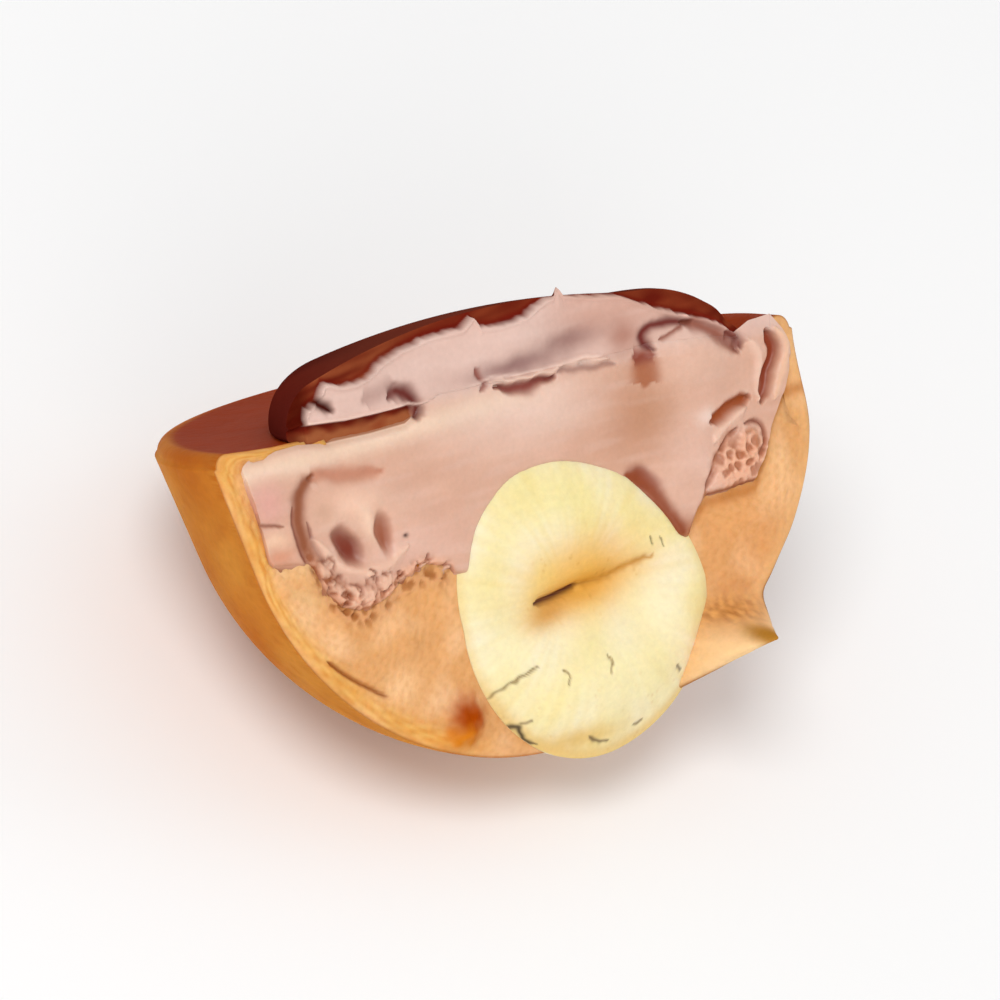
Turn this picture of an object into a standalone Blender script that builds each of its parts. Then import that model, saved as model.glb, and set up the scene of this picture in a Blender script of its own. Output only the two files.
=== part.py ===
"""A round hazelnut toffee cut in half: a caramel cup, its nougat filling, a whole nut, a chocolate drop.

Every piece is modelled whole, in the cup's own frame: the cup's axis is Z, the centre of its rim is the
origin, and the knife came down along the plane Y = 0, so that the cut faces -Y. A cutter with an uneven
face then takes the front half away. Sizes are in millimetres until a mesh is written. The half toffee
can't stand upright on its round bottom, so it leans back on a small flat spot, which holds the origin.
"""

import math

import bmesh
import bpy
import numpy as np
from mathutils import Matrix, Vector

MM = 0.001

# The caramel cup: a bowl with a flared wall. Heights count from the rim.
RIM_RADIUS = 14.05
CUP_DEPTH = 14.9
BOWL_RADIUS = 13.4
WALL_FLARE = math.radians(15)
RIM_ROUND = 0.55
RING_DIP = 0.15
WALL_THICKNESS = 1.15
LIP_THICKNESS = 0.55
MOUTH_RADIUS = 8.9

# The room for the nougat inside the cup.
FLOOR_HEIGHT = -6.9
FLOOR_CORNER = 2.2
GAP = 0.3

# The chocolate drop that closes the mouth.
DROP_RADIUS = 10.7
DROP_THICKNESS = 3.25
DROP_SIDE_ROUND = 1.9
DROP_FOOT = 0.15
DROP_SHORT = 1.35

# The nut: centre and half sizes along X, Y and Z.
NUT_CENTRE = Vector((1.85, -0.2, -9.2))
NUT_RADII = Vector((5.85, 5.6, 6.35))
NUT_FLATTENED = 0.2

# How the half rests.
LEAN_BACK = math.radians(50)
SPOT_RADIUS = 2.4

# Fineness of the meshes.
TURN_STEPS = 80
CUT_GRID = 0.6
CUTTER_HALF_WIDTH = 17.0
CUTTER_LOW = -17.0
CUTTER_HIGH = 6.0
CUTTER_FRONT = -20.0

# What stands out of the cut (out > 0, towards the viewer) or is pressed into it (out < 0).
# Each one is a rounded mound: its centre, its half width and half height, its turn in degrees and its reach.
# One that is "sharp" by less than 1 comes to a point.
CARAMEL_MOUNDS = [
    {"x": 8.05, "z": -11.6, "wide": 1.5, "tall": 0.7, "turn": 18, "out": 3.1, "sharp": 0.7},  # torn flap
    {"x": 7.3, "z": -12.4, "wide": 1.6, "tall": 0.9, "turn": 30, "out": 0.7},
    {"x": 9.6, "z": -10.4, "wide": 1.2, "tall": 0.6, "turn": 0, "out": -0.5},  # the notch above it
    {"x": -8.5, "z": -8.8, "wide": 1.6, "tall": 1.1, "turn": -30, "out": 0.3},
    {"x": -5.6, "z": -10.4, "wide": 1.2, "tall": 0.9, "turn": 20, "out": -0.3},
    {"x": -2.9, "z": -12.6, "wide": 0.9, "tall": 0.8, "turn": 0, "out": 0.6},  # a lump below the nut
    {"x": 11.6, "z": -7.4, "wide": 1.1, "tall": 1.3, "turn": 0, "out": 0.3},
]
NOUGAT_MOUNDS = [
    {"x": -7.9, "z": -4.2, "wide": 1.5, "tall": 1.1, "turn": 0, "out": -0.9},  # two finger-like pits in one
    {"x": -10.6, "z": -2.8, "wide": 0.8, "tall": 1.9, "turn": 8, "out": -0.5},  # the groove beside them
    {"x": -8.0, "z": -6.2, "wide": 1.9, "tall": 0.8, "turn": 5, "out": 0.5},  # the fold under the pits
    {"x": 10.4, "z": -3.4, "wide": 0.8, "tall": 1.5, "turn": -40, "out": -0.7},
    {"x": 12.2, "z": -1.6, "wide": 0.8, "tall": 1.3, "turn": 5, "out": -0.5},
    {"x": 7.6, "z": -4.2, "wide": 1.6, "tall": 2.0, "turn": -20, "out": 0.5},
]
DROP_MOUNDS = [
    {"x": -6.8, "z": 1.3, "wide": 1.8, "tall": 0.8, "turn": 5, "out": -0.7},
    {"x": 2.6, "z": 1.4, "wide": 2.8, "tall": 0.8, "turn": 3, "out": -0.7},
    {"x": 8.3, "z": 2.6, "wide": 2.0, "tall": 0.9, "turn": -22, "out": -0.9},  # broken back at the top
    {"x": -8.6, "z": 2.6, "wide": 2.2, "tall": 0.6, "turn": 14, "out": -0.5},
]
NUT_MOUNDS = [
    {"x": 1.4, "z": -5.6, "wide": 4.2, "tall": 2.5, "turn": 0, "out": 0.85},  # the upper lobe
    {"x": 2.2, "z": -12.4, "wide": 4.4, "tall": 2.5, "turn": 0, "out": 1.25},  # the lower lobe
    {"x": 5.8, "z": -10.6, "wide": 1.8, "tall": 1.6, "turn": 25, "out": 0.4},
    {"x": 1.9, "z": -8.65, "wide": 3.4, "tall": 0.8, "turn": 5, "out": -0.7},  # the cleft between them
]


def clear_scene():
    for item in list(bpy.data.objects):
        bpy.data.objects.remove(item)


def material(name, colour, roughness):
    made = bpy.data.materials.new(name)
    made.use_nodes = True
    shader = made.node_tree.nodes["Principled BSDF"]
    shader.inputs["Base Color"].default_value = (*colour, 1.0)
    shader.inputs["Roughness"].default_value = roughness
    shader.inputs["Metallic"].default_value = 0.0
    return made


def arc(centre_r, centre_z, radius, start_deg, end_deg, steps):
    """Points (r, z) of an arc in the half plane of a turned outline."""
    return [
        (centre_r + radius * math.cos(t), centre_z + radius * math.sin(t))
        for t in np.radians(np.linspace(start_deg, end_deg, steps))
    ]


def wall_radius(height, inset=0.0):
    """The cup's outside radius on the flared wall at a height, or that of a wall set in from it."""
    touch_r = BOWL_RADIUS * math.cos(WALL_FLARE)
    touch_z = BOWL_RADIUS - CUP_DEPTH - BOWL_RADIUS * math.sin(WALL_FLARE)
    return touch_r + (height - touch_z) * math.tan(WALL_FLARE) - inset / math.cos(WALL_FLARE)


def room_outline(mouth, lip, inset, floor):
    """The nougat's room, from the mouth's edge to the floor's centre, shrunk by the values given."""
    side_top = -lip - 0.5
    corner_z = floor + FLOOR_CORNER
    corner_r = wall_radius(corner_z, inset) - FLOOR_CORNER
    return [
        (mouth, -lip + 0.1),
        (wall_radius(side_top, inset) - 0.5, -lip),
        (wall_radius(side_top, inset), side_top),
        *arc(corner_r, corner_z, FLOOR_CORNER, 0, -90, 7),
        (6.0, floor),
        (3.0, floor),
        (0.0, floor),
    ]


def cup_outline():
    """The cup's half section: the room's floor and wall, the lip, the ring, the rim, the wall, the bowl."""
    inner = room_outline(MOUTH_RADIUS, LIP_THICKNESS, WALL_THICKNESS, FLOOR_HEIGHT)[::-1]
    ring = [
        (MOUTH_RADIUS, -RING_DIP),
        (11.4, -RING_DIP),
        (12.5, -RING_DIP * 0.45),
    ]
    rim = arc(RIM_RADIUS - RIM_ROUND, -RIM_ROUND, RIM_ROUND, 90, -10, 5)
    wall = [(wall_radius(z), z) for z in (-1.9, -3.3)]
    bowl_centre = BOWL_RADIUS - CUP_DEPTH
    bowl = arc(0.0, bowl_centre, BOWL_RADIUS, -math.degrees(WALL_FLARE), -88, 18)
    return [*inner, *ring, *rim, *wall, *bowl, (0.0, -CUP_DEPTH)]


def nougat_outline():
    """The filling's half section: a flat top with a raised plug in the mouth, then the room less the gap."""
    top = -DROP_FOOT
    plug = MOUTH_RADIUS - GAP
    room = room_outline(plug, LIP_THICKNESS + GAP, WALL_THICKNESS + GAP, FLOOR_HEIGHT + GAP)
    return [(0.0, top), (5.0, top), (plug - 0.3, top), (plug, top - 0.2), *room]


def drop_outline():
    """The drop's half section: a low dome, a side that rounds out to the foot, and a flat foot."""
    side_r = DROP_RADIUS - DROP_SIDE_ROUND
    side_z = DROP_FOOT + 0.05
    edge_top = side_z + DROP_SIDE_ROUND * math.sin(math.radians(70))
    edge_r = side_r + DROP_SIDE_ROUND * math.cos(math.radians(70))
    crown = DROP_FOOT + DROP_THICKNESS
    dome = [(r, crown - (crown - edge_top) * (r / edge_r) ** 2) for r in (0.0, 2.5, 5.0, 7.5, 8.6)]
    side = arc(side_r, side_z, DROP_SIDE_ROUND, 70, 0, 8)
    return [*dome, *side, (DROP_RADIUS - 0.1, DROP_FOOT), (5.0, DROP_FOOT), (0.0, DROP_FOOT)]


def turned(name, outline):
    """A whole turned solid as a plain mesh. The outline runs from the axis down its outer side."""
    line = bpy.data.meshes.new(name + "_outline")
    line.from_pydata(
        [(r * MM, 0.0, z * MM) for r, z in outline],
        [(i, i + 1) for i in range(len(outline) - 1)],
        [],
    )
    guide = bpy.data.objects.new(name + "_guide", line)
    bpy.context.scene.collection.objects.link(guide)
    screw = guide.modifiers.new("turn", "SCREW")
    screw.axis = "Z"
    screw.steps = TURN_STEPS
    screw.render_steps = TURN_STEPS
    screw.use_merge_vertices = True
    screw.merge_threshold = 0.00001
    return baked(guide, name)


def baked(guide, name):
    """The guide's evaluated mesh under the name given. The guide is removed."""
    bpy.context.view_layer.update()
    graph = bpy.context.evaluated_depsgraph_get()
    mesh = bpy.data.meshes.new_from_object(guide.evaluated_get(graph))
    mesh.name = name
    bpy.data.objects.remove(guide)
    work = bmesh.new()
    work.from_mesh(mesh)
    bmesh.ops.remove_doubles(work, verts=work.verts, dist=0.00001)
    bmesh.ops.recalc_face_normals(work, faces=work.faces)
    work.to_mesh(mesh)
    work.free()
    return mesh


def moved(mesh, rule):
    """Moves every vertex by a rule that takes and gives millimetres."""
    for vertex in mesh.vertices:
        vertex.co = Vector(rule(*(vertex.co / MM))) * MM
    mesh.update()


def cup_unevenness(x, y, z):
    """The cup isn't round: at the right of the cut it bulges, splays at the flap and draws in its rim."""
    radius = math.hypot(x, y)
    turn = math.atan2(y, x)
    share = 0.010 * math.cos(2 * turn + 0.6) + 0.006 * math.cos(3 * turn - 0.8)
    side = 0.5 * math.exp(-((turn / 0.45) ** 2) - ((z + 5.5) / 3.5) ** 2)
    splay = 0.9 * math.exp(-(((turn + 0.3) / 0.35) ** 2) - ((z + 11.9) / 1.5) ** 2)
    grown = radius * (1 + share) + (side + splay) * min(1.0, radius / 8.0)
    right = math.exp(-((turn / 0.42) ** 2))
    lift = 0.5 * right * smooth_step(z, -2.6, 0.0) * smooth_step(radius, 11.2, 13.2)
    height = z + 0.12 * math.cos(2 * turn - 0.9) * (radius / RIM_RADIUS) ** 2 + lift
    scale = grown / radius if radius > 1e-6 else 1.0
    scale -= 0.085 * right * smooth_step(z, -4.6, 0.2) * smooth_step(radius, 9.0, 12.0)
    return x * scale, y * scale, height


def drop_unevenness(x, y, z):
    """The drop is oval, drawn in at its left back, shorter to the back than to the sides, and slumped."""
    turn = math.atan2(y, x)
    share = 0.008 * math.cos(2 * turn + 1.2) - 0.06 * math.exp(-(((turn - 2.5) / 0.5) ** 2))
    slump = 1 - 0.003 * x - 0.008 * y - 0.1 * smooth_step(x, 8.5, 10.7)
    deep = y * (1 + share)
    if deep > 0:
        deep -= DROP_SHORT * (1 - math.exp(-deep / 3))
    return x * (1 + share), deep, DROP_FOOT + (z - DROP_FOOT) * slump


def mound_sum(mounds, x, z):
    """How far the mounds together reach towards the viewer at one point of the cut."""
    total = 0.0
    for m in mounds:
        turn = math.radians(m["turn"])
        across = (x - m["x"]) * math.cos(turn) + (z - m["z"]) * math.sin(turn)
        along = (z - m["z"]) * math.cos(turn) - (x - m["x"]) * math.sin(turn)
        apart = (across / m["wide"]) ** 2 + (along / m["tall"]) ** 2
        total += m["out"] * math.exp(-(apart ** m.get("sharp", 1.0)))
    return total


def smooth_step(value, low, high):
    t = min(1.0, max(0.0, (value - low) / (high - low)))
    return t * t * (3 - 2 * t)


def caramel_cut(x, z):
    """The torn caramel: forward at the right, lumpy on the scale of a millimetre or two."""
    forward = 1.3 * smooth_step(x, 3.0, 10.0)
    lumps = 0.08 * math.sin(1.7 * x + 0.7) * math.sin(1.9 * z - 0.4)
    return -(forward + lumps + mound_sum(CARAMEL_MOUNDS, x, z))


def nougat_cut(x, z):
    """The smeared nougat: a little proud of the caramel, in soft folds."""
    forward = 0.35 + 1.0 * smooth_step(x, 4.0, 11.0)
    folds = 0.06 * math.sin(0.5 * x + 1.9 * z)
    return -(forward + folds + mound_sum(NOUGAT_MOUNDS, x, z))


def drop_cut(x, z):
    """The broken drop: a smeared face with a ledge at its foot and an edge that broke back."""
    forward = 0.35 + 0.7 * smooth_step(x, 4.0, 11.0)
    chips = (0.08 * math.sin(1.9 * x + 0.5) + 0.06 * math.sin(3.1 * x)) * smooth_step(z, 1.5, 3.5)
    return -(forward + chips + mound_sum(DROP_MOUNDS, x, z))


def nut_cut(x, z):
    """The nut's two lobes and the cleft between them, forward at the right as the caramel is."""
    share = math.hypot((x - NUT_CENTRE.x) / NUT_RADII.x, (z - NUT_CENTRE.z) / NUT_RADII.z)
    share = min(1.0, share)
    forward = 1.3 * smooth_step(x, 3.0, 10.0)
    return -(0.5 + forward + mound_sum(NUT_MOUNDS, x, z) * (1 - share**6)) + 0.45 * share**8


def knife(name, surface):
    """A closed block in front of the cut. Its back face is the surface y = surface(x, z)."""
    across = round(2 * CUTTER_HALF_WIDTH / CUT_GRID)
    upward = round((CUTTER_HIGH - CUTTER_LOW) / CUT_GRID)
    work = bmesh.new()
    bmesh.ops.create_grid(work, x_segments=across, y_segments=upward, size=1.0)
    middle = (CUTTER_HIGH + CUTTER_LOW) / 2
    for vertex in work.verts:
        x = vertex.co.x * CUTTER_HALF_WIDTH
        z = middle + vertex.co.y * (CUTTER_HIGH - CUTTER_LOW) / 2
        vertex.co = Vector((x, surface(x, z), z)) * MM
    grown = bmesh.ops.extrude_face_region(work, geom=list(work.faces))
    for item in grown["geom"]:
        if isinstance(item, bmesh.types.BMVert):
            item.co.y = CUTTER_FRONT * MM
    bmesh.ops.recalc_face_normals(work, faces=work.faces)
    mesh = bpy.data.meshes.new(name)
    work.to_mesh(mesh)
    work.free()
    return mesh


def nut_mesh(name, grow):
    """The whole nut, or the pocket that it lies in: a ball drawn out to its half sizes, flattened low behind."""
    work = bmesh.new()
    bmesh.ops.create_uvsphere(work, u_segments=48, v_segments=24, radius=1.0)
    radii = [(value + grow) * MM for value in NUT_RADII]
    bmesh.ops.scale(work, vec=radii, verts=work.verts)
    for vertex in work.verts:
        if vertex.co.z < 0:
            vertex.co.z *= 1 - NUT_FLATTENED * smooth_step(vertex.co.y, 0.0, 2.5 * MM)
    bmesh.ops.translate(work, vec=NUT_CENTRE * MM, verts=work.verts)
    mesh = bpy.data.meshes.new(name)
    work.to_mesh(mesh)
    work.free()
    return mesh


def placed(name, mesh, collection, parent):
    made = bpy.data.objects.new(name, mesh)
    collection.objects.link(made)
    made.parent = parent
    return made


def cutter(name, mesh, collection, parent):
    made = placed(name, mesh, collection, parent)
    made.hide_render = True
    made.display_type = "WIRE"
    return made


def cut_with(piece, *cutters):
    for tool in cutters:
        modifier = piece.modifiers.new("less_" + tool.name, "BOOLEAN")
        modifier.operation = "DIFFERENCE"
        modifier.solver = "EXACT"
        modifier.object = tool


def lean_frame(collection):
    """The empty that leans the cup back until its flat spot lies on Z = 0 with its centre at the origin."""
    lean = Matrix.Rotation(-LEAN_BACK, 4, "X")
    bowl_centre = Vector((0.0, 0.0, BOWL_RADIUS - CUP_DEPTH))
    height = math.sqrt(BOWL_RADIUS**2 - SPOT_RADIUS**2)
    frame = bpy.data.objects.new("half_toffee", None)
    collection.objects.link(frame)
    frame.rotation_euler = lean.to_euler()
    frame.location = (Vector((0.0, 0.0, height)) - lean @ bowl_centre) * MM
    return frame


def floor_mesh():
    """A block whose top is the surface that the toffee rests on. It cuts the flat spot."""
    work = bmesh.new()
    bmesh.ops.create_cube(work, size=1.0)
    bmesh.ops.scale(work, vec=(0.04, 0.04, 0.01), verts=work.verts)
    bmesh.ops.translate(work, vec=(0.0, 0.0, -0.005), verts=work.verts)
    mesh = bpy.data.meshes.new("floor")
    work.to_mesh(mesh)
    work.free()
    return mesh


def finish(piece, look):
    piece.data.materials.append(look)
    piece.data.shade_smooth()
    piece.data.set_sharp_from_angle(angle=math.radians(40))


def main():
    clear_scene()
    parts = bpy.data.collections.new("half_toffee")
    tools = bpy.data.collections.new("cutters")
    for collection in (parts, tools):
        bpy.context.scene.collection.children.link(collection)
    frame = lean_frame(parts)

    floor = cutter("floor", floor_mesh(), tools, None)
    pocket = cutter("nut_pocket", nut_mesh("nut_pocket", GAP), tools, frame)
    knives = {
        name: cutter(name + "_knife", knife(name + "_knife", surface), tools, frame)
        for name, surface in (
            ("caramel", caramel_cut),
            ("nougat", nougat_cut),
            ("drop", drop_cut),
            ("nut", nut_cut),
        )
    }

    cup_mesh = turned("caramel_cup", cup_outline())
    moved(cup_mesh, cup_unevenness)
    cup = placed("caramel_cup", cup_mesh, parts, frame)
    cut_with(cup, pocket, knives["caramel"], floor)
    finish(cup, material("caramel", (0.62, 0.31, 0.10), 0.45))

    nougat_mesh = turned("nougat_filling", nougat_outline())
    moved(nougat_mesh, cup_unevenness)
    nougat = placed("nougat_filling", nougat_mesh, parts, frame)
    cut_with(nougat, pocket, knives["nougat"])
    finish(nougat, material("nougat", (0.60, 0.36, 0.27), 0.35))

    nut = placed("hazelnut", nut_mesh("hazelnut", 0.0), parts, frame)
    cut_with(nut, knives["nut"])
    finish(nut, material("nut", (0.93, 0.82, 0.52), 0.6))

    drop_mesh = turned("chocolate_drop", drop_outline())
    moved(drop_mesh, drop_unevenness)
    drop = placed("chocolate_drop", drop_mesh, parts, frame)
    cut_with(drop, knives["drop"])
    finish(drop, material("chocolate", (0.16, 0.05, 0.04), 0.3))


main()
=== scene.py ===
import math

import bmesh
import bpy
import numpy as np
from mathutils import Matrix, Vector


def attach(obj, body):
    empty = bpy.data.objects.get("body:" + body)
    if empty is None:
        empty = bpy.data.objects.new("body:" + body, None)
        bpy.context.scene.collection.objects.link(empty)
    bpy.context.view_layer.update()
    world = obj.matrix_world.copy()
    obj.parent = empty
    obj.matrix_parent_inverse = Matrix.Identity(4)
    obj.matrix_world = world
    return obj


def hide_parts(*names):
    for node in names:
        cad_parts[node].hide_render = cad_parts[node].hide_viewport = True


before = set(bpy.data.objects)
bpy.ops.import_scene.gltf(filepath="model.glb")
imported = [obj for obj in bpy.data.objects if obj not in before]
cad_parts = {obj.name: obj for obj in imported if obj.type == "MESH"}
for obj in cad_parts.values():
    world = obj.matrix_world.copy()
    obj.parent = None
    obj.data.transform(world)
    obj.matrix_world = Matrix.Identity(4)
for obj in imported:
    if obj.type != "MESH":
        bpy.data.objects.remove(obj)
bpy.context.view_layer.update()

# All shapes are worked out in the cup's own frame, in millimetres: the cup's axis is z, its rim is at z = 0,
# the cut faces -y. toWorld leans them back onto the flat spot and turns them into metres.
stance = {
    "lean": math.radians(50),
    "spotRadius": 2.4,
    "bowlRadius": 13.4,
    "cupDepth": 14.9,
    "flare": math.radians(15),
}


# world y = y cos(lean) + z sin(lean), world z = z cos(lean) - y sin(lean), then the shift onto the spot
def toWorld(points):
    c, s = math.cos(stance["lean"]), math.sin(stance["lean"])
    middle = stance["bowlRadius"] - stance["cupDepth"]
    height = math.sqrt(stance["bowlRadius"] ** 2 - stance["spotRadius"] ** 2)
    x, y, z = points[..., 0], points[..., 1], points[..., 2]
    up = np.maximum((z - middle) * c - y * s + height, 0)  # the flat spot
    return np.stack([x, y * c + (z - middle) * s, up], axis=-1) * 0.001


# Small tools for arrays

def smoothStep(value, low, high):  # 0 below low, 1 above high, t * t * (3 - 2 t) between
    t = np.clip((value - low) / (high - low), 0.0, 1.0)
    return t * t * (3 - 2 * t)


# a * (1 - share) + b * share, where a colour may be given by its code
def mix(a, b, share):
    a, b = (tone(colour) if isinstance(colour, str) else colour for colour in (a, b))
    share = np.asarray(share)[..., None]
    return a * (1 - share) + b * share


def tone(code):  # an sRGB colour as linear numbers, less the pale sheen that the surface adds to it
    v = np.array([int(code[i:i + 2], 16) / 255 for i in (0, 2, 4)])
    v = np.where(v <= 0.04045, v / 12.92, ((v + 0.055) / 1.055) ** 2.4)
    return np.maximum(v - 0.03, v * 0.35)


def bell(value, wide):  # exp(-(value / wide)^2)
    return np.exp(-(value / wide) ** 2)


# waves(x, z) = sum of cos(k . p + phase) over seeded directions, each of about one wavelength, scaled to +-1
def waves(x, z, length, seed, stretch=1.0, count=14):
    rng = np.random.default_rng(seed)
    total = np.zeros_like(x)
    for angle, size, phase in zip(rng.uniform(0, math.tau, count), rng.uniform(0.7, 1.4, count),
                                  rng.uniform(0, math.tau, count)):
        k = math.tau / (length * size)
        total += np.cos(k * (x * math.cos(angle) / stretch + z * math.sin(angle)) + phase)
    return total / math.sqrt(count * 2)


# distance to the nearest of points strewn one to a square, in squares: 0 at a point, about 0.7 between them
def cells(x, z, size, seed):
    column, row = np.floor(x / size), np.floor(z / size)
    nearest = np.full(x.shape, 9.0)
    for i in (-1, 0, 1):
        for j in (-1, 0, 1):
            a, b = column + i, row + j
            shiftX = np.sin(a * 127.1 + b * 311.7 + seed) * 43758.5
            shiftZ = np.sin(a * 269.5 + b * 183.3 + seed) * 24634.6
            nearest = np.minimum(nearest, np.hypot(x / size - a - (shiftX - np.floor(shiftX)),
                                                   z / size - b - (shiftZ - np.floor(shiftZ))))
    return nearest


# one row of a table: out > 0 stands out of the face, out < 0 is pressed in, tint and share are its paint
def mound(at, wide, tall, out, tint=None, share=0.0, turn=0.0, sharp=1.0):
    return {"at": at, "wide": wide, "tall": tall, "out": out, "tint": tint, "share": share, "turn": turn,
            "sharp": sharp}


def stroke(path, wide, out, tint, share=0.78, sharp=1.0, ends=0.15):  # the same along a path
    return {"path": path, "wide": wide, "out": out, "tint": tint, "share": share, "sharp": sharp, "ends": ends}


# spot = exp(-(q ** sharp)), q = (across / wide)^2 + (along / tall)^2, turned by its angle
def spot(x, z, at, wide, tall, turn=0.0, sharp=1.0):
    t = math.radians(turn)
    across = (x - at[0]) * math.cos(t) + (z - at[1]) * math.sin(t)
    along = (z - at[1]) * math.cos(t) - (x - at[0]) * math.sin(t)
    return np.exp(-((across / wide) ** 2 + (along / tall) ** 2) ** sharp)


def moundMask(m, x, z):  # the spot of one mound
    return spot(x, z, m["at"], m["wide"], m["tall"], m["turn"], m["sharp"])


def moundSum(table, x, z):  # every mound's mask times how far it stands out, added up
    return sum(m["out"] * moundMask(m, x, z) for m in table)


def throughPoints(points, steps):  # Catmull-Rom curve through a few points
    p = np.array([points[0], *points, points[-1]], dtype=float)
    t = np.linspace(0, 1, steps, endpoint=False)[:, None]
    runs = [0.5 * ((2 * b) + (c - a) * t + (2 * a - 5 * b + 4 * c - d) * t ** 2 + (3 * b - a - 3 * c + d) * t ** 3)
            for a, b, c, d in zip(p, p[1:], p[2:], p[3:])]
    return np.vstack([*runs, p[-1:]])


# stroke = out * exp(-((distance to the path) / wide)^2), with the width drawn in towards its two ends
def strokeMask(s, x, z):
    line = throughPoints(s["path"], 6)
    nearest = np.full(x.shape, 1e9)
    share = np.zeros(x.shape)
    for n, (a, b) in enumerate(zip(line, line[1:])):
        d = b - a
        t = np.clip(((x - a[0]) * d[0] + (z - a[1]) * d[1]) / (d @ d + 1e-12), 0, 1)
        gap = np.hypot(x - a[0] - t * d[0], z - a[1] - t * d[1])
        closer = gap < nearest
        nearest = np.where(closer, gap, nearest)
        share = np.where(closer, (n + t) / (len(line) - 1), share)
    taper = smoothStep(share, 0, s["ends"]) * smoothStep(1 - share, 0, s["ends"])
    return np.exp(-(nearest / (s["wide"] * (0.35 + 0.65 * taper))) ** (2 * s["sharp"]))


def strokeSum(table, x, z):  # every stroke's mask times how far it stands out, added up
    return sum(s["out"] * strokeMask(s, x, z) for s in table)


def evenly(points, steps):  # the same line with its points evenly spaced
    p = np.array(points, dtype=float)
    run = np.concatenate([[0], np.cumsum(np.hypot(*np.diff(p, axis=0).T))])
    at = np.linspace(0, run[-1], steps)
    return np.stack([np.interp(at, run, p[:, 0]), np.interp(at, run, p[:, 1])], axis=-1)


def arc(r, z, radius, start, end, steps=16):  # (r + radius * cos t, z + radius * sin t) from start to end
    t = np.radians(np.linspace(start, end, steps))
    return [(r + radius * math.cos(a), z + radius * math.sin(a)) for a in t]


# Making the meshes

# A sheet is a grid of points (n, m, 3) with its paint (n, m, 3) and its share of cut face (n, m).
def meshFrom(name, sheets):
    corners, faces, paints, cuts, first = [], [], [], [], 0
    for points, paint, cut in sheets:
        n, m = points.shape[:2]
        at = first + np.arange(n * m).reshape(n, m)
        quads = np.stack([at[:-1, :-1], at[1:, :-1], at[1:, 1:], at[:-1, 1:]], axis=-1)
        faces.append(quads.reshape(-1, 4))
        corners.append(toWorld(points).reshape(-1, 3))
        paints.append(np.broadcast_to(paint, points.shape).reshape(-1, 3))
        cuts.append(np.broadcast_to(cut, points.shape[:2]).reshape(-1))
        first += n * m
    corners, faces = np.concatenate(corners), np.concatenate(faces)
    mesh = bpy.data.meshes.new(name)
    mesh.vertices.add(len(corners))
    mesh.vertices.foreach_set("co", corners.astype(np.float32).ravel())
    mesh.loops.add(faces.size)
    mesh.loops.foreach_set("vertex_index", faces.astype(np.int32).ravel())
    mesh.polygons.add(len(faces))
    mesh.polygons.foreach_set("loop_start", np.arange(0, faces.size, 4, dtype=np.int32))
    mesh.polygons.foreach_set("loop_total", np.full(len(faces), 4, dtype=np.int32))
    mesh.update(calc_edges=True)
    colour = mesh.color_attributes.new("paint", "FLOAT_COLOR", "POINT")
    colour.data.foreach_set("color", np.c_[np.concatenate(paints), np.ones(first)].astype(np.float32).ravel())
    share = mesh.attributes.new("cutFace", "FLOAT", "POINT")
    share.data.foreach_set("value", np.concatenate(cuts).astype(np.float32))

    work = bmesh.new()
    work.from_mesh(mesh)
    bmesh.ops.remove_doubles(work, verts=work.verts, dist=5e-8)
    bmesh.ops.dissolve_degenerate(work, edges=work.edges, dist=5e-9)
    bmesh.ops.recalc_face_normals(work, faces=work.faces)
    openEdges = sum(1 for e in work.edges if len(e.link_faces) != 2)
    work.to_mesh(mesh)
    work.free()
    mesh.shade_smooth()
    made = bpy.data.objects.new(name, mesh)
    bpy.context.scene.collection.objects.link(made)
    print(name, len(mesh.vertices), "points,", sum(len(p.vertices) - 2 for p in mesh.polygons),
          "triangles,", openEdges, "open edges")
    return made


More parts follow.
